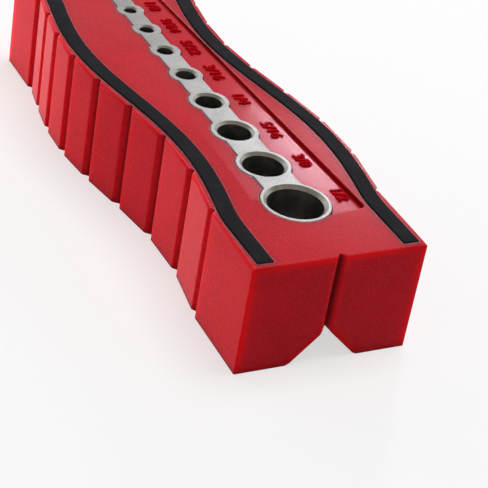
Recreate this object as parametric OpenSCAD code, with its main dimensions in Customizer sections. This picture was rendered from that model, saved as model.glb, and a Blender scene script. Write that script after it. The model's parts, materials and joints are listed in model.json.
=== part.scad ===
// Drill guide for rods, pipes and flat stock. A moulded body with swaying sides has a V-groove
// along its underside. A steel insert in its top holds a row of guide bores, from the largest
// at the near end to the smallest at the far end, and two grip strips lie beside it.
// The origin is at the middle of the flat bottom. +X points right, +Y runs along the row of
// bores to the smallest, and +Z points up. The word "along" means a distance from the near end.

/* [Body] */
// Width of the straight ends of the body
body_w = 42.1; // [40:0.1:56]
// Height of the body
body_h = 27; // [22:0.5:40]
// Length at each end before the sides and strips begin to sway
straight_len = 19; // [14:0.5:21]
// How far the sides sway out of line
sway = 3.4; // [0:0.1:4.5]
// Length over which the corner between straight and swaying sides is eased
sway_ease = 5; // [2:0.5:8]

/* [Guide bores] */
// Distance from the near end to the first bore
first_along = 21.6; // [21.5:0.1:30]
// Distance from the first bore to the second
first_pitch = 16; // [15:0.1:20]
// How much shorter each distance between bores is than the one before
pitch_drop = 0.86; // [0.5:0.02:0.9]
// Distance from the last bore to the far end
last_margin = 17.48; // [16:0.1:30]
// How much wider each bore is than its drill
drill_play = 0.1; // [0.05:0.01:0.3]
// Width of the chamfer at the mouth of the first bore
mouth_chamfer = 0.8; // [0.3:0.05:1]

/* [Steel insert] */
// Wall of the first boss around its bore
boss_wall = 1.6; // [1.4:0.05:2.5]
// How much thicker the wall of each boss is than the one before
boss_wall_gain = 0.05; // [0:0.01:0.1]
// Plastic left between the bottom of the insert and the top of the V-groove
floor_under_insert = 1.2; // [0.8:0.1:3]
// Gap all round between the insert and its pocket
insert_gap = 0.1; // [0.05:0.01:0.2]
// How much wider on each side the holes under the insert are than its bores
relief = 0.3; // [0.1:0.05:0.6]

/* [V-groove] */
// Width of the V-groove at the bottom of the body
v_open = 16.6; // [12:0.1:20]
// Angle between the flanks of the V-groove
v_angle = 90; // [75:5:120]
// Width of the eased edges along the V-groove
v_ease = 0.5; // [0.2:0.1:1]
// Width of the alignment notches down the end faces
notch_w = 2.36; // [1:0.02:4]
// Depth of the alignment notches
notch_depth = 1.2; // [0.5:0.1:2]

/* [Ribs] */
// Width of the alignment grooves between the ribs, at the face of the ribs
groove_w = 3.1; // [2:0.1:4]
// Width of the floor of the alignment grooves
groove_floor_w = 0.8; // [0.4:0.1:1.4]
// Depth of the alignment grooves
groove_depth = 1.15; // [0.8:0.05:1.2]
// How far past its bore each alignment groove stands, towards the far end
groove_lead = 0.85; // [0:0.05:1]
// Width and height of the bevel along the top of the ribs
rib_bevel = 0.6; // [0.2:0.05:0.7]

/* [Grip strips] */
// Width of each grip strip
strip_w = 3.85; // [2.5:0.05:4.5]
// Thickness of each grip strip
strip_h = 1.9; // [1:0.1:3]
// How far the strips stand proud of the top
strip_proud = 0.28; // [0.1:0.02:0.6]
// Distance from the side of the body to a strip
strip_inset = 1.6; // [1.5:0.1:2]
// Distance from each end of the body to the strips
strip_end = 1.3; // [1:0.1:4]
// Gap between a strip and each wall of its channel
strip_gap = 0.1; // [0.05:0.01:0.2]

/* [Label recess] */
// Depth of the recess at the foot of its right wall, beside the first bore
recess_depth = 0.95; // [0.5:0.05:3]
// Distance from the first boss to the left edge of the recess
recess_crease_gap = 1.6; // [1:0.1:2.5]
// Plastic between the recess and the right strip at the near end
recess_rim_near = 0.95; // [0.5:0.05:2]
// Plastic between the recess and the right strip where the strip sways furthest left
recess_rim_far = 0.55; // [0.4:0.05:2]
// Radius of the near right corner of the recess
recess_corner = 1.5; // [0.5:0.1:3]
// How far past the first bore the recess begins on its left
recess_left_start = 3.4; // [1:0.1:6]
// How far past the last boss the recess ends
recess_far_gap = 1.3; // [0.5:0.1:5]

/* [Hidden] */
$fn = 64;

// Drill sizes as shares of an inch: 1/2, 3/8, 5/16, 1/4, 3/16, 5/32, 9/64, 1/8 and 7/64
inch = 25.4;
drill_shares = [32, 24, 20, 16, 12, 10, 9, 8, 7] / 64;
// Share of the smaller boss that the web beside it is wide
web_share = 0.73;
// Where the near wall of the recess stands in front of the first bore, as shares of its boss:
// on the centre line, and at the right wall
recess_near_shares = [0.89, 0.69];
// How far each cut runs past the face that it opens
overrun = 2;
// Distance between the points of a swaying edge
edge_step = 2.5;
// How many flats the rounded corner of the recess has
corner_flats = 6;

last = len(drill_shares) - 1;
places = [for (i = [0:last]) i];
alongs = [for (i = places) first_along + i * first_pitch - pitch_drop * i * (i - 1) / 2];
grooves = [for (along = alongs) along + groove_lead];
bore_rs = [for (share = drill_shares) (share * inch + drill_play) / 2];
boss_rs = [for (i = places) bore_rs[i] + boss_wall + i * boss_wall_gain];

body_len = alongs[last] + last_margin;
half_w = body_w / 2;
half_len = body_len / 2;
sway_len = body_len - 2 * straight_len;

v_depth = v_open / 2 / tan(v_angle / 2);
insert_bottom = v_depth + floor_under_insert;
insert_h = body_h - insert_bottom;

strip_outer = half_w - strip_inset;
strip_inner = strip_outer - strip_w;
strip_bottom = body_h + strip_proud - strip_h;

// Sideways place of the middle of the body: straight, one full wave, straight
function plain_sway(along) = along < straight_len || along > straight_len + sway_len
    ? 0
    : sway * sin(360 * (along - straight_len) / sway_len);

// The same with the corners at both ends of the wave eased
function sway_at(along) =
    (plain_sway(along - sway_ease / 2) + plain_sway(along) + plain_sway(along + sway_ease / 2)) / 3;

// Points of one alignment groove, near edge first. Inside is -1 on the right and 1 on the left.
function groove_points(along, inside) = [
    [plain_sway(along - groove_w / 2), along - groove_w / 2],
    [plain_sway(along) + inside * groove_depth, along - groove_floor_w / 2],
    [plain_sway(along) + inside * groove_depth, along + groove_floor_w / 2],
    [plain_sway(along + groove_w / 2), along + groove_w / 2]
];

// Points of one side of the body from the near end to the far end. The ribs are flat, so the side
// runs straight between two grooves, and from each end to the groove beside it.
function side_points(side) = [
    for (point = concat(
        [[0, 0]],
        [for (along = grooves) each groove_points(along, -side)],
        [[0, body_len]]
    )) [point[0] + side * half_w, point[1]]
];

function backwards(list) = [for (i = [len(list) - 1:-1:0]) list[i]];

// Points of a band that follows the sway, between two distances from the middle of the body
function band_edge(x, start) = [
    for (i = [0:ceil((body_len - 2 * start) / edge_step)])
        let (along = min(start + i * edge_step, body_len - start))
        [x + sway_at(along), along]
];
function band_points(x_a, x_b, start) = concat(band_edge(x_a, start), backwards(band_edge(x_b, start)));

// Moves what is drawn with its near end at y = 0 to the middle of the body
module centred() {
    translate([0, -half_len, 0])
        children();
}

// A block whose lowest face lies in the plane through three points, and covers run along it
module cut_above(point, point_b, point_c, run) {
    across = cross(point_b - point, point_c - point);
    normal = across[2] < 0 ? -across : across;
    flat = norm([normal[0], normal[1]]);
    reach = 2 * body_w;
    translate((point + point_b) / 2)
        rotate([0, atan2(flat, normal[2]), atan2(normal[1], normal[0])])
            translate([-reach / 2, -run / 2, 0])
                cube([reach, run, reach]);
}

// Where one flat stretch of a side begins and ends: the ends of the body or the edges of grooves
function stretch_from(i) = i == 0 ? 0 : grooves[i - 1] + groove_w / 2;
function stretch_to(i) = i == len(grooves) ? body_len : grooves[i] - groove_w / 2;

// The bevels along the top edges of the sides. Each cut runs on into the grooves beside it.
module rib_bevels() {
    drop = [0, 0, rib_bevel];
    for (side = [-1, 1]) {
        inside = [-side * rib_bevel, 0, 0];
        edge = [side * half_w, 0, body_h];
        for (i = [0:len(grooves)])
            let (
                from = stretch_from(i),
                to = stretch_to(i),
                edge_a = edge + [plain_sway(from), from, 0],
                edge_b = edge + [plain_sway(to), to, 0]
            )
            cut_above(edge_a + inside, edge_b + inside, edge_a - drop, norm(edge_b - edge_a) + groove_w);
    }
}

module strip_channels() {
    for (side = [-1, 1])
        translate([0, 0, strip_bottom])
            linear_extrude(strip_h + overrun)
                polygon(band_points(
                    side * (strip_outer + strip_gap),
                    side * (strip_inner - strip_gap),
                    strip_end - strip_gap
                ));
}

// Points of a rounded corner between a near edge and a wall on its right, near edge first
function round_corner(x, along, radius) = [
    for (i = [0:corner_flats])
        let (turn = 90 * i / corner_flats)
        [x - radius * (1 - sin(turn)), along + radius * (1 - cos(turn))]
];

// The floor of the recess slopes from a crease on its left down to a wall on its right
module label_recess() {
    start = alongs[0];
    end = alongs[last] + boss_rs[last] + recess_far_gap;
    trough = straight_len + sway_len * 3 / 4;
    crease_near = -boss_rs[0] - recess_crease_gap;
    crease_far = -boss_rs[last] - recess_crease_gap;
    wall_near = strip_inner - recess_rim_near;
    wall_far = strip_inner - sway - recess_rim_far;
    crease = function (along) crease_near
        + (crease_far - crease_near) * (along - start) / (alongs[last] - start);
    wall = function (along) wall_near
        + (wall_far - wall_near) * (along - straight_len) / (trough - straight_len);
    near_mid = start - boss_rs[0] * recess_near_shares[0];
    near_right = start - boss_rs[0] * recess_near_shares[1];
    intersection() {
        linear_extrude(body_h + overrun)
            polygon([
                [0, start],
                [0, near_mid],
                each round_corner(wall(near_right + recess_corner), near_right, recess_corner),
                [wall(end), end],
                [crease(end) - overrun, end],
                [crease(start + recess_left_start) - overrun, start + recess_left_start]
            ]);
        cut_above(
            [crease(start), start, body_h],
            [crease(end), end, body_h],
            [wall(start), start, body_h - recess_depth],
            2 * body_len
        );
    }
}

// The chain of bosses and webs, grown by a gap
module boss_chain(height, gap) {
    for (i = places)
        translate([0, alongs[i], 0])
            cylinder(r = boss_rs[i] + gap, h = height);
    for (i = [1:last])
        let (web = boss_rs[i] * web_share + gap)
        translate([-web, alongs[i - 1], 0])
            cube([2 * web, alongs[i] - alongs[i - 1], height]);
}

module insert_pocket() {
    translate([0, 0, insert_bottom])
        boss_chain(insert_h + overrun, insert_gap);
}

// The holes that let the drills through the plastic under the insert
module relief_holes() {
    for (i = places)
        translate([0, alongs[i], -overrun])
            cylinder(r = bore_rs[i] + relief, h = insert_bottom + 2 * overrun);
}

module v_groove() {
    half = v_open / 2;
    rise = v_depth / half;
    low_half = half + v_ease + 2 * overrun / rise;
    translate([0, body_len + overrun, 0])
        rotate([90, 0, 0])
            linear_extrude(body_len + 2 * overrun)
                polygon([
                    [-low_half, -overrun],
                    [-half + v_ease, v_ease * rise],
                    [0, v_depth],
                    [half - v_ease, v_ease * rise],
                    [low_half, -overrun]
                ]);
}

module end_notch() {
    mouth_half = notch_w / 2 * (1 + overrun / notch_depth);
    translate([0, 0, -overrun])
        linear_extrude(body_h + 2 * overrun)
            polygon([[-mouth_half, -overrun], [0, notch_depth], [mouth_half, -overrun]]);
}

module end_notches() {
    end_notch();
    translate([0, body_len, 0])
        mirror([0, 1, 0])
            end_notch();
}

// What lies under the body. The block is drawn deeper than the V-groove, and is cut off here.
module below_body() {
    translate([-body_w, -overrun, -3 * overrun])
        cube([2 * body_w, body_len + 2 * overrun, 3 * overrun]);
}

module body() {
    color([0.76, 0.13, 0.17])
        centred()
            difference() {
                translate([0, 0, -2 * overrun])
                    linear_extrude(body_h + 2 * overrun)
                        polygon(concat(side_points(1), backwards(side_points(-1))));
                rib_bevels();
                strip_channels();
                label_recess();
                insert_pocket();
                relief_holes();
                v_groove();
                end_notches();
                below_body();
            }
}

module guide_insert() {
    color([0.72, 0.73, 0.71])
        centred()
            translate([0, 0, insert_bottom])
                difference() {
                    boss_chain(insert_h, 0);
                    for (i = places)
                        translate([0, alongs[i], -overrun])
                            cylinder(r = bore_rs[i], h = insert_h + 2 * overrun);
                    for (i = places)
                        translate([0, alongs[i], insert_h])
                            mouth(bore_rs[i], mouth_chamfer * sqrt(drill_shares[i] / drill_shares[0]));
                }
}

// The chamfered mouth of one bore, with its rim at z = 0
module mouth(bore_r, chamfer) {
    translate([0, 0, -chamfer])
        cylinder(r1 = bore_r, r2 = bore_r + chamfer, h = chamfer);
    cylinder(r = bore_r + chamfer, h = overrun);
}

module grip_strip(side) {
    color([0.1, 0.11, 0.12])
        centred()
            translate([0, 0, strip_bottom])
                linear_extrude(strip_h)
                    polygon(band_points(side * strip_outer, side * strip_inner, strip_end));
}

module grip_strip_left() {
    grip_strip(-1);
}

module grip_strip_right() {
    grip_strip(1);
}

body();
guide_insert();
grip_strip_left();
grip_strip_right();
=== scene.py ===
"""A drill guide: a moulded body with grooved, swaying sides, a steel insert with nine guide bores
and two rubber grip strips, shown on a pale studio floor."""

import json
import math
from typing import NamedTuple

import bmesh
import bpy
from bpy.props import FloatProperty, FloatVectorProperty, PointerProperty
from mathutils import Matrix, Quaternion, Vector
from mathutils.bvhtree import BVHTree


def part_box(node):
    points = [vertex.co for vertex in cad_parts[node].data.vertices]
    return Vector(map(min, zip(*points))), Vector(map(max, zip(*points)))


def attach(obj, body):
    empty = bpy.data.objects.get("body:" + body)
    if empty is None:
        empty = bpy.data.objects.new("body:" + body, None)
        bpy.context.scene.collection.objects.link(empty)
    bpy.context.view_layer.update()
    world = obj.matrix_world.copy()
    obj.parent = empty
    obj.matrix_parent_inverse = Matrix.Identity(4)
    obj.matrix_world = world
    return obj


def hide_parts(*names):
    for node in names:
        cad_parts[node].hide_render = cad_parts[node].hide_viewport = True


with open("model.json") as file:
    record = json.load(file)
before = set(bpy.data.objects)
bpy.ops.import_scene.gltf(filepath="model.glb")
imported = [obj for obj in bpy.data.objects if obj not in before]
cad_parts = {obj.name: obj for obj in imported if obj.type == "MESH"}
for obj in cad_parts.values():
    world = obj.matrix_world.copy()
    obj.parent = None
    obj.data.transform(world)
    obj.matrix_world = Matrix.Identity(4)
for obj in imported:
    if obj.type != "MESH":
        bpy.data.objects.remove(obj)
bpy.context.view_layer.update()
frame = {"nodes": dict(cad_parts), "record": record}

bl_info = {
    "name": "Drill guide",
    "version": (1, 0, 0),
    "blender": (4, 5, 0),
    "location": "3D View > Sidebar > Drill guide",
    "description": "Builds a moulded drill guide with a steel insert, grip strips and drill sizes",
    "category": "Add Mesh",
}

MM = 0.001
BORES = [mount for mount in frame["record"]["mounts"] if mount["kind"] == "bore"]
BODY_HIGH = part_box("body")[1]
INSERT_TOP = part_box("guide_insert")[1].z
WHITE = (1.0, 1.0, 1.0)

# How the CAD meshes are cleaned, rounded and shaded.
MERGE_DISTANCE = 0.001 * MM
FLAT_ANGLE = math.radians(0.5)
SHARP_ANGLE = math.radians(25)
SMOOTH_ANGLE = math.radians(35)
ROUNDING_SEGMENTS = 3
LARGE_FACE_WEIGHT = 100

# How faces and edges are told apart. A slope is the upward part of a face's normal: 1 is level.
BEVEL_SLOPES = (0.5, 0.9)
CHAMFER_SLOPES = (0.3, 0.95)
WALL_SLOPE = 0.1
LEVEL_SLOPE = 1 - 1e-7
UPRIGHT_SHARE = 0.99
END_MARGIN = 2 * MM
BORE_SLACK = 1.002

# Limits and defaults of the settings that a user can change.
LARGEST_LENGTH = 200 * MM
PRECISION = 5
LABEL_LEADS = (1.3, 0.65, -0.45, 0.0, 0.35, 1.0, 1.5, 1.6, 1.6)


def length_property(name, description, default):
    return FloatProperty(
        name=name, description=description, default=default, min=0, max=LARGEST_LENGTH,
        precision=PRECISION, subtype="DISTANCE", unit="LENGTH",
    )


def colour_property(name, description, default):
    return FloatVectorProperty(
        name=name, description=description, default=default, min=0, max=1, size=3, subtype="COLOR"
    )


def place_property(name, description, default):
    return FloatVectorProperty(
        name=name, description=description, default=default, size=3, precision=PRECISION,
        subtype="TRANSLATION", unit="LENGTH",
    )


def share_property(name, description, default):
    return FloatProperty(
        name=name, description=description, default=default, min=0, max=1, subtype="FACTOR"
    )


def power_property(name, description, default):
    return FloatProperty(name=name, description=description, default=default, min=0, unit="POWER")


class BodyLook(bpy.types.PropertyGroup):
    red: colour_property("Red", "Colour of the moulded plastic", (0.64, 0.009, 0.021))
    deep_red: colour_property(
        "Deep red", "Colour of the darker clouds in the plastic", (0.58, 0.007, 0.017)
    )
    # Painted glow: a lighter red painted along edges where light shines through the plastic.
    painted_glow_red: colour_property(
        "Clear red", "Colour of the edges that light shines through", (1.0, 0.002, 0.008)
    )
    # Painted shade: a dark red painted in grooves and at the foot of walls.
    painted_shade_red: colour_property(
        "Hollow red", "Colour of grooves and of the foot of walls", (0.27, 0.001, 0.002)
    )
    # Rubbed edges and a painted highlight: pale pink on edges and rims, much stronger on the top
    # face.
    rub_and_highlight_pink: colour_property("Scuffed", "Colour of the rubbed edges", (0.66, 0.34, 0.37))
    # Painted sheen: a pale pink painted on the top face for the sheen on it.
    painted_sheen_pink: colour_property("Haze", "Colour of the dull haze on the top face", (0.85, 0.62, 0.72))
    painted_shade_reach: length_property(
        "Hollow reach", "How far across a hollow may be to look darker", 1.6 * MM
    )
    edge_radius: length_property("Edge rounding", "Rounding of the outer edges", 0.34 * MM)
    rim_radius: length_property(
        "Rim rounding", "Rounding of the rims of pockets and channels", 0.12 * MM
    )
    rim_reach: length_property("Rim reach", "How far under the top the rims lie at most", 3.0 * MM)
    core_width: length_property(
        "Core width", "Distance from the middle within which no edge is an outer one", 14.0 * MM
    )
    grain: length_property("Grain", "Size of the grain of the moulded surface", 0.42 * MM)
    grain_depth: length_property(
        "Grain depth", "Depth of the grain of the moulded surface", 0.005 * MM
    )
    roughness: share_property("Roughness", "Roughness of the moulded surface", 0.14)
    gloss: share_property("Gloss", "Strength of the reflections on the moulded surface", 0.045)
    glow: share_property("Glow", "How much of the light passes on under the surface", 1.0)
    glow_depth: length_property(
        "Glow depth", "How far the light passes on under the surface", 6.0 * MM
    )
    # Width of the painted glow along the edges of the end faces.
    painted_glow_width: length_property(
        "Clear width", "Width of the edges that light shines through", 3.8 * MM
    )


class InsertLook(bpy.types.PropertyGroup):
    steel: colour_property("Steel", "Colour of the blasted steel", (0.29, 0.286, 0.265))
    turned: colour_property("Chamfer", "Colour of the turned chamfers", (0.42, 0.405, 0.365))
    # Painted reflection: a dark colour painted on one side of each chamfer, for the dark
    # surroundings it mirrors.
    painted_dark_reflection: colour_property("Stain", "Colour of the oil on the chamfers", (0.13, 0.117, 0.093))
    # Painted shade: the steel in the bores is painted dark for the shade inside them.
    shaded: colour_property("Bore", "Colour of the oiled steel in the bores", (0.115, 0.112, 0.098))
    edge_radius: length_property("Edge rounding", "Rounding of the insert's outer edges", 0.22 * MM)
    grain: length_property("Grain", "Size of the grain of the steel", 0.5 * MM)
    grain_depth: length_property("Grain depth", "Depth of the grain of the steel", 0.02 * MM)
    turning: length_property("Turning marks", "Distance between the marks of the reamer", 0.3 * MM)
    roughness: share_property("Roughness", "Roughness of the blasted steel", 0.38)


class StripLook(bpy.types.PropertyGroup):
    rubber: colour_property("Rubber", "Colour of the rubber", (0.009, 0.009, 0.011))
    dusty: colour_property("Dust", "Colour of the dust on the rubber", (0.022, 0.022, 0.025))
    edge_radius: length_property("Edge rounding", "Rounding of the edges of the strips", 0.3 * MM)
    grain: length_property("Grain", "Size of the grain of the rubber", 0.6 * MM)
    grain_depth: length_property("Grain depth", "Depth of the grain of the rubber", 0.05 * MM)
    roughness: share_property("Roughness", "Roughness of the rubber", 0.6)
    gloss: share_property("Gloss", "Strength of the reflections on the rubber", 0.04)


class LabelLook(bpy.types.PropertyGroup):
    # Painted shade: the figures are a darker red than the body's plastic, for the shade on their
    # narrow strokes.
    red: colour_property("Red", "Colour of the raised drill sizes", (0.34, 0.003, 0.007))
    gloss: share_property("Gloss", "Strength of the reflections on the drill sizes", 0.0)
    height: length_property("Height", "Height of the figures", 3.0 * MM)
    relief: length_property("Relief", "How far the figures stand up from the recess", 0.35 * MM)
    weight: length_property("Weight", "How much the strokes are thickened on each side", 0.09 * MM)
    gap: length_property(
        "Gap", "Distance from the wall of a bore to the middle of its figures", 5.5 * MM
    )
    leads: FloatVectorProperty(
        name="Leads", description="How far the middle of each drill size stands past its bore",
        default=[lead * MM for lead in LABEL_LEADS], size=len(LABEL_LEADS),
        precision=PRECISION, subtype="NONE", unit="LENGTH",
    )


class StudioLook(bpy.types.PropertyGroup):
    floor: colour_property("Floor", "Colour of the floor", (0.66, 0.66, 0.66))
    world: FloatProperty(
        name="World", description="Strength of the even light", default=0.28, min=0
    )
    key: power_property("Key", "Power of the low panel at the left", 5.8)
    top: power_property("Top", "Power of the panel above", 4.1)
    sheen: power_property("Sheen", "Power of the panel behind", 1.95)
    lens: FloatProperty(
        name="Lens", description="Focal length of the camera", default=125.52, unit="CAMERA"
    )
    eye: place_property("Eye", "Place of the camera", (-0.17318, -0.31600, 0.21419))
    aim: place_property("Aim", "Point in the middle of the picture", (-0.01887, -0.06269, 0.02700))
    roll: FloatProperty(
        name="Roll", description="Turn of the camera about its line of sight",
        default=math.radians(10.297), subtype="ANGLE", unit="ROTATION",
    )


class Wire:
    """A socket that can be used in sums: each operator adds its Math node."""

    def __init__(self, finish, socket):
        self.finish = finish
        self.socket = socket

    def maths(self, operation, *values):
        return self.finish.add("ShaderNodeMath", {"operation": operation}, dict(enumerate(values)))

    def __add__(self, other):
        return self.maths("ADD", self, other)

    def __sub__(self, other):
        return self.maths("SUBTRACT", self, other)

    def __rsub__(self, other):
        return self.maths("SUBTRACT", other, self)

    def __mul__(self, other):
        return self.maths("MULTIPLY", self, other)

    def __abs__(self):
        return self.maths("ABSOLUTE", self)

    def sine(self):
        return self.maths("SINE", self)

    def clamped(self):
        return self.finish.add("ShaderNodeClamp", {}, {0: self})

    __radd__ = __add__
    __rmul__ = __mul__


def between(least, most, mask):
    """A value that runs from least to most as the mask runs from 0 to 1."""
    return mask * (most - least) + least


def shade(colour, share):
    return tuple(share * channel for channel in colour)


def opaque(colour):
    return colour if isinstance(colour, Wire) else (*colour, 1.0)


# The fineness of the grain, and the rays that feel for edges and hollows.
GRAIN_ROUGHNESS = 0.6
EDGE_SAMPLES = 6
HOLLOW_SAMPLES = 8


class Finish:
    """A material or world whose nodes are added one by one."""

    def __init__(self, tree):
        self.tree = tree
        self.tree.nodes.clear()

    def add(self, kind, settings, sockets, out=0):
        """Adds a node: first its settings, then the values or links of its sockets."""
        node = self.tree.nodes.new(kind)
        for name, value in settings.items():
            setattr(node, name, value)
        for name, value in sockets.items():
            if isinstance(value, Wire):
                self.tree.links.new(value.socket, node.inputs[name])
            else:
                node.inputs[name].default_value = value
        return Wire(self, node.outputs[out]) if len(node.outputs) else node

    def place(self):
        """Where a point lies on the object, in metres."""
        return self.add("ShaderNodeTexCoord", {}, {}, "Object")

    def normal(self):
        """Which way the surface faces."""
        return self.add("ShaderNodeNewGeometry", {}, {}, "Normal")

    def part(self, vector, axis):
        """The part of a place or direction that lies along X, Y or Z."""
        return self.add("ShaderNodeSeparateXYZ", {}, {0: vector}, axis)

    def agreement(self, a, b):
        """1 when two directions are the same, and less the more they differ."""
        return self.add("ShaderNodeVectorMath", {"operation": "DOT_PRODUCT"}, {0: a, 1: b}, "Value")

    def noise(self, size, detail=3, roughness=0.5):
        pattern = {"Scale": 1 / size, "Detail": detail, "Roughness": roughness}
        return self.add("ShaderNodeTexNoise", {}, {"Vector": self.place(), **pattern}, "Fac")

    def grain(self, size, detail=3):
        """The fine noise of a surface that was moulded or blasted."""
        return self.noise(size, detail, GRAIN_ROUGHNESS)

    def steps(self, value, low, high):
        """0 below low, 1 above high and a smooth step between them."""
        settings = {"interpolation_type": "SMOOTHSTEP"}
        return self.add("ShaderNodeMapRange", settings, {0: value, 1: low, 2: high, 3: 0.0, 4: 1.0})

    def patches(self, size, limits, detail=3):
        """Soft patches from 0 to 1, which fade in between two values of the noise."""
        return self.steps(self.noise(size, detail), *limits)

    def mix(self, share, colour_a, colour_b):
        """Mixes two colours: they go into sockets 6 and 7 and come out of socket 2."""
        sockets = {0: share, 6: opaque(colour_a), 7: opaque(colour_b)}
        return self.add("ShaderNodeMix", {"data_type": "RGBA"}, sockets, 2)

    def bump(self, height, depth, strength=1.0):
        sockets = {"Strength": strength, "Distance": depth, "Height": height}
        return self.add("ShaderNodeBump", {}, sockets)

    def edges(self, radius):
        """Near 0 on the flat and higher where the surface turns within the radius."""
        softened = self.add("ShaderNodeBevel", {"samples": EDGE_SAMPLES}, {"Radius": radius})
        return 1 - self.agreement(softened, self.normal())

    def shade_in_hollows(self, reach):
        """The mask of the painted shade: 0 in the open and higher in grooves and at the foot of
        walls of the piece itself.
        """
        settings = {"samples": HOLLOW_SAMPLES, "only_local": True}
        return 1 - self.add("ShaderNodeAmbientOcclusion", settings, {"Distance": reach}, "AO")

    def surface(self, **sockets):
        """Adds the Principled shader: base_color stands for its Base Color socket, and so on."""
        named = {
            name.replace("_", " ").title().replace("Ior", "IOR"): value
            for name, value in sockets.items()
        }
        named["Base Color"] = opaque(named["Base Color"])
        shader = self.add("ShaderNodeBsdfPrincipled", {}, named)
        self.add("ShaderNodeOutputMaterial", {}, {"Surface": shader})


def new_material(name):
    material = bpy.data.materials.new(name)
    material.use_nodes = True
    return material, Finish(material.node_tree)


# Painted glow: the edges of the plastic are painted a lighter red where light shines through them.
SLOPING_LIMITS = (0.3, 0.5)
LEVEL_LIMITS = (0.85, 0.95)
END_LIMITS = (BODY_HIGH.y - 0.3 * MM, BODY_HIGH.y - 0.1 * MM)
PAINTED_GLOW_EDGE_LIMITS = (0.003, 0.10)
BEVEL_PAINTED_GLOW = 0.35


def painted_edge_glow(finish, look):
    """The painted glow: up to 1 along the edges of the end faces, and fainter on the bevels under
    the top.
    """
    upwards = finish.part(finish.normal(), "Z")
    bevelled = finish.steps(upwards, *SLOPING_LIMITS) * (1 - finish.steps(upwards, *LEVEL_LIMITS))
    at_end = finish.steps(abs(finish.part(finish.place(), "Y")), *END_LIMITS)
    near_edge = finish.steps(finish.edges(look.painted_glow_width), *PAINTED_GLOW_EDGE_LIMITS)
    return (bevelled * BEVEL_PAINTED_GLOW + at_end * near_edge).clamped()


# The moulded plastic: clouds, specks, painted glow, shade and sheen, and rubbed edges with painted
# highlights.
PLASTIC_COLOURS = ("red", "deep_red", "painted_glow_red", "painted_shade_red", "painted_sheen_pink", "rub_and_highlight_pink")
CLOUD_SIZE = 14 * MM
CLOUD_LIMITS = (0.35, 0.68)
PLASTIC_GRAIN_DETAIL = 2
SPECK_LIMITS = (0.35, 0.75)
SPECK_LIGHTNESS = 1.3
PAINTED_SHADE_LIMITS = (0.03, 0.36)
TOP_LIMITS = (BODY_HIGH.z - 0.4 * MM, BODY_HIGH.z - 0.05 * MM)
PAINTED_SHEEN_SIZE = 25 * MM
PAINTED_SHEEN_LIMITS = (0.3, 0.7)
PAINTED_SHEEN_SHARES = (0.008, 0.023)
RUB_SIZE = 1.4 * MM
RUB_LIMITS = (0.3, 0.7)
RUB_SHARES = (0.5, 1.0)
WEAR_AND_HIGHLIGHT_WIDTH = 0.8 * MM
WEAR_AND_HIGHLIGHT_LIMITS = (0.005, 0.25)
WEAR_AND_HIGHLIGHT_SHARES = (0.05, 0.90)
PLASTIC_ROUGHNESS_SPREAD = 0.04
GLOW_REACH = (1.0, 0.06, 0.05)


def moulded_plastic(name, look, colours, gloss):
    """The plastic of the body or the figures: colours has one for each name in PLASTIC_COLOURS."""
    material, finish = new_material(name)
    specks = finish.grain(look.grain, PLASTIC_GRAIN_DETAIL)
    at_top = finish.steps(finish.part(finish.place(), "Z"), *TOP_LIMITS)
    clouds = finish.patches(CLOUD_SIZE, CLOUD_LIMITS)
    colour = finish.mix(clouds, colours["deep_red"], colours["red"])
    pale = shade(colours["red"], SPECK_LIGHTNESS)
    colour = finish.mix(finish.steps(specks, *SPECK_LIMITS), colour, pale)
    # Painted glow along the edges of the end faces and on the bevels.
    colour = finish.mix(painted_edge_glow(finish, look), colour, colours["painted_glow_red"])
    # Painted shade in grooves and at the foot of walls.
    painted_shade = finish.steps(finish.shade_in_hollows(look.painted_shade_reach), *PAINTED_SHADE_LIMITS)
    colour = finish.mix(painted_shade, colour, colours["painted_shade_red"])
    # A painted sheen in soft patches on the top face.
    painted_sheen = between(*PAINTED_SHEEN_SHARES, finish.patches(PAINTED_SHEEN_SIZE, PAINTED_SHEEN_LIMITS))
    colour = finish.mix(painted_sheen * at_top, colour, colours["painted_sheen_pink"])
    # Rubbed edges and a painted rim highlight, much stronger on the top face.
    rubbed = between(*RUB_SHARES, finish.patches(RUB_SIZE, RUB_LIMITS))
    exposed_and_lit = between(*WEAR_AND_HIGHLIGHT_SHARES, at_top)
    worn_and_highlight = finish.steps(finish.edges(WEAR_AND_HIGHLIGHT_WIDTH), *WEAR_AND_HIGHLIGHT_LIMITS) * rubbed * exposed_and_lit
    colour = finish.mix(worn_and_highlight, colour, colours["rub_and_highlight_pink"])
    smoothest = look.roughness - PLASTIC_ROUGHNESS_SPREAD
    roughest = look.roughness + PLASTIC_ROUGHNESS_SPREAD
    finish.surface(
        base_color=colour,
        roughness=between(smoothest, roughest, specks),
        normal=finish.bump(specks, look.grain_depth),
        subsurface_weight=look.glow,
        subsurface_radius=GLOW_REACH,
        subsurface_scale=look.glow_depth,
        specular_ior_level=gloss,
    )
    return material


# The steel: blasted on the outside, turned on the chamfers and reamed inside the bores.
STEEL_CLOUD_SIZE = 6 * MM
STEEL_CLOUD_LIMITS = (0.3, 0.7)
STEEL_CLOUD_SHARE = 0.4
STEEL_SPECK_LIMITS = (0.4, 0.7)
STEEL_SPECK_SHARE = 0.5
DULL_STEEL = 0.55
STEEL_ROUGHNESS_SPREAD = 0.1


def blasted_steel(look):
    material, finish = new_material("blasted_steel")
    specks = finish.grain(look.grain)
    dull = finish.patches(STEEL_CLOUD_SIZE, STEEL_CLOUD_LIMITS) * STEEL_CLOUD_SHARE
    dull = dull + finish.steps(specks, *STEEL_SPECK_LIMITS) * STEEL_SPECK_SHARE
    finish.surface(
        base_color=finish.mix(dull, look.steel, shade(look.steel, DULL_STEEL)),
        metallic=1.0,
        roughness=between(look.roughness, look.roughness + STEEL_ROUGHNESS_SPREAD, specks),
        normal=finish.bump(specks, look.grain_depth),
    )
    return material


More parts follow.
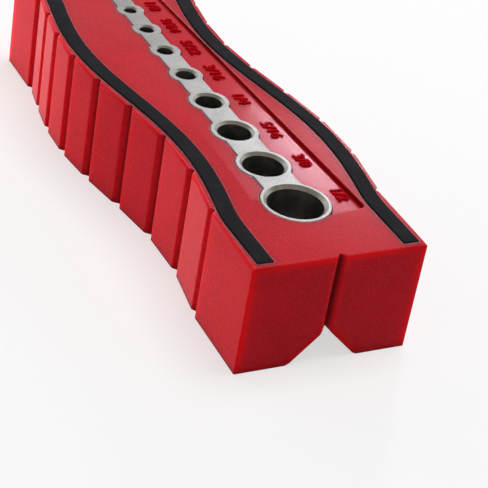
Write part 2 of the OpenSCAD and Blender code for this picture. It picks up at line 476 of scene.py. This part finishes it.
CHAMFER_SMEAR_SIZE = 4 * MM
CHAMFER_SMEAR_SHARE = 0.5
# Chamfers facing this way keep their light colour; the others get a painted dark reflection.
BRIGHT_REFLECTION_SIDE = Vector((0.5, 0.866, 0.0))
BRIGHT_REFLECTION_LIMITS = (-0.42, 0.03)


def turned_steel(look):
    """Steel with a painted dark reflection on the side of each chamfer that faces away from the
    bright side set above.
    """
    material, finish = new_material("turned_steel")
    smears = finish.noise(CHAMFER_SMEAR_SIZE)
    facing = finish.agreement(finish.normal(), BRIGHT_REFLECTION_SIDE)
    painted_dark_reflection = 1 - finish.steps(facing + smears * CHAMFER_SMEAR_SHARE, *BRIGHT_REFLECTION_LIMITS)
    finish.surface(
        base_color=finish.mix(painted_dark_reflection, look.turned, look.painted_dark_reflection),
        metallic=1.0,
        roughness=between(look.roughness, look.roughness + STEEL_ROUGHNESS_SPREAD, smears),
        normal=finish.bump(finish.grain(look.grain), look.grain_depth / 2),
    )
    return material


BORE_SMEAR_SIZE = 3 * MM
BORE_SMEAR_LIMITS = (0.4, 0.75)
BORE_SMEAR_SHARE = 0.6
BORE_SMEAR_LIGHTNESS = 2.2
BORE_METAL = 0.85
BORE_ROUGHNESSES = (0.34, 0.48)
REAMING_DEPTH = 0.006 * MM
REAMING_STRENGTH = 0.5


def reamed_steel(look):
    material, finish = new_material("reamed_steel")
    marks = (finish.part(finish.place(), "Z") * (2 * math.pi / look.turning)).sine()
    smears = finish.noise(BORE_SMEAR_SIZE)
    smeared = finish.steps(smears, *BORE_SMEAR_LIMITS) * BORE_SMEAR_SHARE
    # The dark base colour of the bores is painted shade.
    finish.surface(
        base_color=finish.mix(smeared, look.shaded, shade(look.shaded, BORE_SMEAR_LIGHTNESS)),
        metallic=BORE_METAL,
        roughness=between(*BORE_ROUGHNESSES, smears),
        normal=finish.bump(marks, REAMING_DEPTH, REAMING_STRENGTH),
    )
    return material


DUST_SIZE = 5 * MM
DUST_DETAIL = 4
DUST_LIMITS = (0.45, 0.8)
DUST_SHARE = 0.5
DUSTY_SPECK_LIMITS = (0.58, 0.8)
DUSTY_SPECK_SHARE = 0.4
RUBBER_ROUGHNESS_SPREAD = 0.15


def strip_rubber(look):
    material, finish = new_material("strip_rubber")
    specks = finish.grain(look.grain)
    dust = finish.patches(DUST_SIZE, DUST_LIMITS, DUST_DETAIL) * DUST_SHARE
    dust = dust + finish.steps(specks, *DUSTY_SPECK_LIMITS) * DUSTY_SPECK_SHARE
    finish.surface(
        base_color=finish.mix(dust, look.rubber, look.dusty),
        roughness=between(look.roughness, look.roughness + RUBBER_ROUGHNESS_SPREAD, specks),
        normal=finish.bump(specks, look.grain_depth),
        specular_ior_level=look.gloss,
    )
    return material


def merged_copy(node):
    """A bmesh of one CAD node with its doubles merged and its flat faces joined."""
    mesh = bmesh.new()
    mesh.from_mesh(frame["nodes"][node].data)
    bmesh.ops.remove_doubles(mesh, verts=mesh.verts, dist=MERGE_DISTANCE)
    bmesh.ops.dissolve_limit(mesh, angle_limit=FLAT_ANGLE, verts=mesh.verts, edges=mesh.edges)
    return mesh


def proud_edges(mesh, test):
    """The sharp edges that stand out, and that pass the test."""

    def proud(edge):
        return edge.is_manifold and edge.calc_face_angle_signed() > SHARP_ANGLE

    return [edge for edge in mesh.edges if proud(edge) and test(edge)]


def ends(edge):
    return [vert.co for vert in edge.verts]


def lowest(edge):
    return min(end.z for end in ends(edge))


def round_edges(mesh, edges, radius):
    bmesh.ops.bevel(
        mesh, geom=edges, affect="EDGES", offset=radius, offset_type="OFFSET",
        segments=ROUNDING_SEGMENTS, profile=0.5, clamp_overlap=False, material=-1, loop_slide=True,
    )


def finish_piece(mesh, name, node, materials, creases=()):
    """Makes a bmesh an object, which stands for a CAD node if one is named.

    Creases are edges that stay sharp although they are shallow.
    """
    mesh.edges.index_update()
    kept = [edge.index for edge in creases]
    data = bpy.data.meshes.new(name)
    mesh.to_mesh(data)
    mesh.free()
    piece = bpy.data.objects.new(name, data)
    bpy.context.scene.collection.objects.link(piece)
    for material in materials:
        data.materials.append(material)
    # The normals that came with the CAD node would hide the new rounding.
    if "custom_normal" in data.attributes:
        data.attributes.remove(data.attributes["custom_normal"])
    data.shade_smooth()
    data.set_sharp_from_angle(angle=SMOOTH_ANGLE)
    for index in kept:
        data.edges[index].use_edge_sharp = True
    weighted = piece.modifiers.new("flat_faces", "WEIGHTED_NORMAL")
    weighted.keep_sharp = True
    weighted.weight = LARGE_FACE_WEIGHT
    if node:
        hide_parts(node)
    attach(piece, "root")


class DRILLGUIDE_OT_body(bpy.types.Operator):
    """Builds the moulded body with rounded edges"""

    bl_idname = "drillguide.body"
    bl_label = "Moulded body"

    def execute(self, context):
        look = context.scene.drillguide_body
        mesh = merged_copy("body")
        end = BODY_HIGH.y - END_MARGIN

        def upright(edge):
            a, b = ends(edge)
            return abs(a.z - b.z) > UPRIGHT_SHARE * (a - b).length

        def sloping(face):
            return BEVEL_SLOPES[0] < face.normal.z < BEVEL_SLOPES[1]

        def outer(edge):
            a, b = ends(edge)
            at_end = min(abs(a.y), abs(b.y)) > end and a.z > look.rim_reach and b.z > look.rim_reach
            at_side = min(abs(a.x), abs(b.x)) > look.core_width
            bevelled = any(sloping(face) for face in edge.link_faces)
            return at_end or (at_side and (bevelled or upright(edge)))

        def crease(edge):
            flat = lowest(edge) > BODY_HIGH.z - MERGE_DISTANCE
            return flat and edge.is_manifold and FLAT_ANGLE < edge.calc_face_angle() < SHARP_ANGLE

        def rim(edge):
            # A wall that fades out at a crease keeps its edge: a rounding would tear there.
            fading = any(crease(other) for vert in edge.verts for other in vert.link_edges)
            high = lowest(edge) > BODY_HIGH.z - look.rim_reach
            return high and not fading and not upright(edge) and not outer(edge)

        rims, outers = proud_edges(mesh, rim), proud_edges(mesh, outer)
        round_edges(mesh, rims, look.rim_radius)
        # Rounding the rims can use up an outer edge.
        round_edges(mesh, [edge for edge in outers if edge.is_valid], look.edge_radius)
        creases = [edge for edge in mesh.edges if crease(edge)]
        colours = {name: getattr(look, name) for name in PLASTIC_COLOURS}
        material = moulded_plastic("moulded_plastic", look, colours, look.gloss)
        finish_piece(mesh, "moulded_body", "body", [material], creases)
        return {"FINISHED"}


def in_bore(point, bore):
    radius = bore["dims"]["r_mm"] * MM
    half = bore["dims"]["length_mm"] * MM / 2
    across = math.hypot(point.x - bore["pos_m"][0], point.y - bore["pos_m"][1])
    return across < radius * BORE_SLACK and abs(point.z - bore["pos_m"][2]) < half


class DRILLGUIDE_OT_insert(bpy.types.Operator):
    """Builds the steel insert with its chain of bosses and its nine bores"""

    bl_idname = "drillguide.insert"
    bl_label = "Steel insert"

    def execute(self, context):
        look = context.scene.drillguide_insert
        mesh = merged_copy("guide_insert")
        materials = [blasted_steel(look), turned_steel(look), reamed_steel(look)]
        _, turned, reamed = range(len(materials))
        for face in mesh.faces:
            centre = face.calc_center_median()
            if any(in_bore(centre, bore) for bore in BORES):
                face.material_index = reamed
            elif CHAMFER_SLOPES[0] < face.normal.z < CHAMFER_SLOPES[1]:
                face.material_index = turned

        def outline(edge):
            at_wall = min(face.normal.z for face in edge.link_faces) < WALL_SLOPE
            return at_wall and lowest(edge) > INSERT_TOP - MERGE_DISTANCE

        round_edges(mesh, proud_edges(mesh, outline), look.edge_radius)
        finish_piece(mesh, "steel_insert", "guide_insert", materials)
        return {"FINISHED"}


class DRILLGUIDE_OT_strips(bpy.types.Operator):
    """Builds the two rubber grip strips"""

    bl_idname = "drillguide.strips"
    bl_label = "Grip strips"

    def execute(self, context):
        look = context.scene.drillguide_strip
        rubber = strip_rubber(look)
        for side in ("left", "right"):
            node = "grip_strip_" + side
            mesh = merged_copy(node)
            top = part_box(node)[1].z
            upper = proud_edges(mesh, lambda edge: lowest(edge) > top - MERGE_DISTANCE)
            round_edges(mesh, upper, look.edge_radius)
            finish_piece(mesh, "rubber_strip_" + side, node, [rubber])
        return {"FINISHED"}


# The raised figures: part of their relief is sunk into the floor of the recess.
FIGURE_CURVE_STEPS = 3
SUNK_SHARE = 0.5
FIGURE_SHADE = 0.7


def figures_mesh(context, figures, look):
    """A bmesh of the figures, centred, with their back at z = 0, facing +Z."""
    curve = bpy.data.curves.new(figures, "FONT")
    curve.body = figures
    curve.size = 1.0
    curve.resolution_u = FIGURE_CURVE_STEPS
    text = bpy.data.objects.new("figures", curve)
    context.scene.collection.objects.link(text)
    context.view_layer.update()
    curve.size = look.height / text.dimensions.y
    curve.offset = look.weight
    curve.extrude = look.relief * (1 + SUNK_SHARE) / 2
    context.view_layer.update()
    data = bpy.data.meshes.new_from_object(text.evaluated_get(context.evaluated_depsgraph_get()))
    mesh = bmesh.new()
    mesh.from_mesh(data)
    bpy.data.objects.remove(text)
    bpy.data.curves.remove(curve)
    bpy.data.meshes.remove(data)
    bmesh.ops.remove_doubles(mesh, verts=mesh.verts, dist=MERGE_DISTANCE)
    xs = [vert.co.x for vert in mesh.verts]
    ys = [vert.co.y for vert in mesh.verts]
    back = min(vert.co.z for vert in mesh.verts)
    middle = Vector(((min(xs) + max(xs)) / 2, (min(ys) + max(ys)) / 2, back))
    mesh.transform(Matrix.Translation(-middle))
    return mesh


class DRILLGUIDE_OT_labels(bpy.types.Operator):
    """Builds the raised drill sizes on the floor of the recess"""

    bl_idname = "drillguide.labels"
    bl_label = "Raised drill sizes"

    def execute(self, context):
        look = context.scene.drillguide_label
        body_look = context.scene.drillguide_body
        # The figures' darker red is painted shade.
        colours = dict.fromkeys(PLASTIC_COLOURS, look.red)
        colours["deep_red"] = shade(look.red, FIGURE_SHADE)
        material = moulded_plastic("label_plastic", body_look, colours, look.gloss)
        solid = merged_copy("body")
        surface = BVHTree.FromBMesh(solid)
        solid.free()
        for bore, lead in zip(BORES, look.leads):
            size = bore["name"].removeprefix("bore_")
            x = bore["dims"]["r_mm"] * MM + look.gap
            y = bore["pos_m"][1] + lead
            above = Vector((x, y, BODY_HIGH.z + look.height))
            point, normal, _, _ = surface.ray_cast(above, Vector((0, 0, -1)))
            if normal.z > LEVEL_SLOPE:
                raise RuntimeError(f"the figures {size} don't lie on the floor of the recess")
            towards_near_end = Vector((0, -1, 0))
            reading = (towards_near_end - towards_near_end.project(normal)).normalized()
            upward = normal.cross(reading)
            turn = Matrix((reading, upward, normal)).transposed().to_4x4()
            mesh = figures_mesh(context, size.replace("_", "/"), look)
            mesh.transform(Matrix.Translation(point - normal * look.relief * SUNK_SHARE) @ turn)
            finish_piece(mesh, "figures_" + size, None, [material])
        return {"FINISHED"}


# The floor and the world look white to the camera and in reflections, and light the object less.
FLOOR_REACH = 4.0
FLOOR_DROP = 0.02 * MM
SEEN_FLOOR_GREY = (0.45, 0.45, 0.45)
SEEN_FLOOR_GLOW = 0.62
SEEN_WORLD_GLOW = 1.0


def seen_directly(finish):
    """1 for rays that show the stage itself: to the eye, in a reflection or through glass."""
    rays = ("Is Camera Ray", "Is Glossy Ray", "Is Transmission Ray")
    camera, glossy, through = (finish.add("ShaderNodeLightPath", {}, {}, ray) for ray in rays)
    return (camera + glossy + through).clamped()


def build_floor(look):
    mesh = bmesh.new()
    bmesh.ops.create_grid(mesh, x_segments=1, y_segments=1, size=FLOOR_REACH)
    mesh.transform(Matrix.Translation((0, 0, -FLOOR_DROP)))
    data = bpy.data.meshes.new("floor")
    mesh.to_mesh(data)
    mesh.free()
    floor = bpy.data.objects.new("floor", data)
    bpy.context.scene.collection.objects.link(floor)
    material, finish = new_material("studio_floor")
    even = finish.add("ShaderNodeBsdfDiffuse", {}, {"Color": opaque(look.floor)})
    grey = finish.add("ShaderNodeBsdfDiffuse", {}, {"Color": opaque(SEEN_FLOOR_GREY)})
    white = {"Color": opaque(WHITE), "Strength": SEEN_FLOOR_GLOW}
    glowing = finish.add("ShaderNodeEmission", {}, white)
    pale = finish.add("ShaderNodeAddShader", {}, {0: grey, 1: glowing})
    shown = finish.add("ShaderNodeMixShader", {}, {0: seen_directly(finish), 1: even, 2: pale})
    finish.add("ShaderNodeOutputMaterial", {}, {"Surface": shown})
    data.materials.append(material)


def build_world(look):
    world = bpy.data.worlds.new("studio")
    world.use_nodes = True
    finish = Finish(world.node_tree)
    even, pale = (
        finish.add("ShaderNodeBackground", {}, {"Color": opaque(WHITE), "Strength": strength})
        for strength in (look.world, SEEN_WORLD_GLOW)
    )
    shown = finish.add("ShaderNodeMixShader", {}, {0: seen_directly(finish), 1: even, 2: pale})
    finish.add("ShaderNodeOutputWorld", {}, {"Surface": shown})
    bpy.context.scene.world = world


class LightPanel(NamedTuple):
    """A rectangle that shines towards the middle of the object, in metres."""

    place: tuple
    width: float
    height: float
    roll: float = 0.0
    colour: tuple = WHITE
    mirrored: bool = True


# The sheen panel's mirror image lies on the sloping floor of the recess, but not on the level top.
KEY_PANEL = LightPanel((-0.30, 0.64, 0.025), 0.50, 0.05, mirrored=False)
TOP_PANEL = LightPanel((0.25, 0.0, 0.97), 0.50, 0.50)
SHEEN_PANEL = LightPanel(
    (0.562, 0.714, 0.418), 0.10, 0.12, roll=math.radians(-32.4), colour=(0.87, 0.86, 1.0)
)


def build_lamp(name, panel, power):
    data = bpy.data.lights.new(name, "AREA")
    data.shape = "RECTANGLE"
    data.size = panel.width
    data.size_y = panel.height
    data.energy = power
    data.color = panel.colour
    lamp = bpy.data.objects.new(name, data)
    bpy.context.scene.collection.objects.link(lamp)
    lamp.location = panel.place
    turn = (-Vector(panel.place)).to_track_quat("-Z", "Y") @ Quaternion((0, 0, 1), panel.roll)
    lamp.rotation_euler = turn.to_euler()
    lamp.visible_glossy = panel.mirrored


def build_camera(look):
    data = bpy.data.cameras.new("camera")
    data.lens = look.lens
    camera = bpy.data.objects.new("camera", data)
    scene = bpy.context.scene
    scene.collection.objects.link(camera)
    ahead = Vector(look.aim) - Vector(look.eye)
    turn = ahead.to_track_quat("-Z", "Y").to_matrix().to_4x4()
    camera.matrix_world = Matrix.Translation(look.eye) @ turn @ Matrix.Rotation(look.roll, 4, "Z")
    scene.camera = camera
    scene.view_settings.view_transform = "Standard"


class DRILLGUIDE_OT_studio(bpy.types.Operator):
    """Builds the floor, the light and the camera"""

    bl_idname = "drillguide.studio"
    bl_label = "Studio"

    def execute(self, context):
        look = context.scene.drillguide_studio
        build_floor(look)
        build_world(look)
        build_lamp("key_lamp", KEY_PANEL, look.key)
        build_lamp("top_lamp", TOP_PANEL, look.top)
        build_lamp("sheen_lamp", SHEEN_PANEL, look.sheen)
        build_camera(look)
        return {"FINISHED"}


class DRILLGUIDE_PT_pieces(bpy.types.Panel):
    """Lists the pieces of the drill guide"""

    bl_idname = "DRILLGUIDE_PT_pieces"
    bl_label = "Drill guide"
    bl_space_type = "VIEW_3D"
    bl_region_type = "UI"
    bl_category = "Drill guide"

    def draw(self, context):
        for operator in OPERATORS:
            self.layout.operator(operator.bl_idname)


LOOKS = {
    "drillguide_body": BodyLook,
    "drillguide_insert": InsertLook,
    "drillguide_strip": StripLook,
    "drillguide_label": LabelLook,
    "drillguide_studio": StudioLook,
}
OPERATORS = (
    DRILLGUIDE_OT_body,
    DRILLGUIDE_OT_insert,
    DRILLGUIDE_OT_strips,
    DRILLGUIDE_OT_labels,
    DRILLGUIDE_OT_studio,
)


def register():
    for cls in (*LOOKS.values(), *OPERATORS, DRILLGUIDE_PT_pieces):
        bpy.utils.register_class(cls)
    for name, look in LOOKS.items():
        setattr(bpy.types.Scene, name, PointerProperty(type=look))


def unregister():
    for name in LOOKS:
        delattr(bpy.types.Scene, name)
    for cls in reversed((*LOOKS.values(), *OPERATORS, DRILLGUIDE_PT_pieces)):
        bpy.utils.unregister_class(cls)


def main():
    register()
    bpy.ops.drillguide.body()
    bpy.ops.drillguide.insert()
    bpy.ops.drillguide.strips()
    bpy.ops.drillguide.labels()
    bpy.ops.drillguide.studio()


if __name__ == "__main__":
    main()
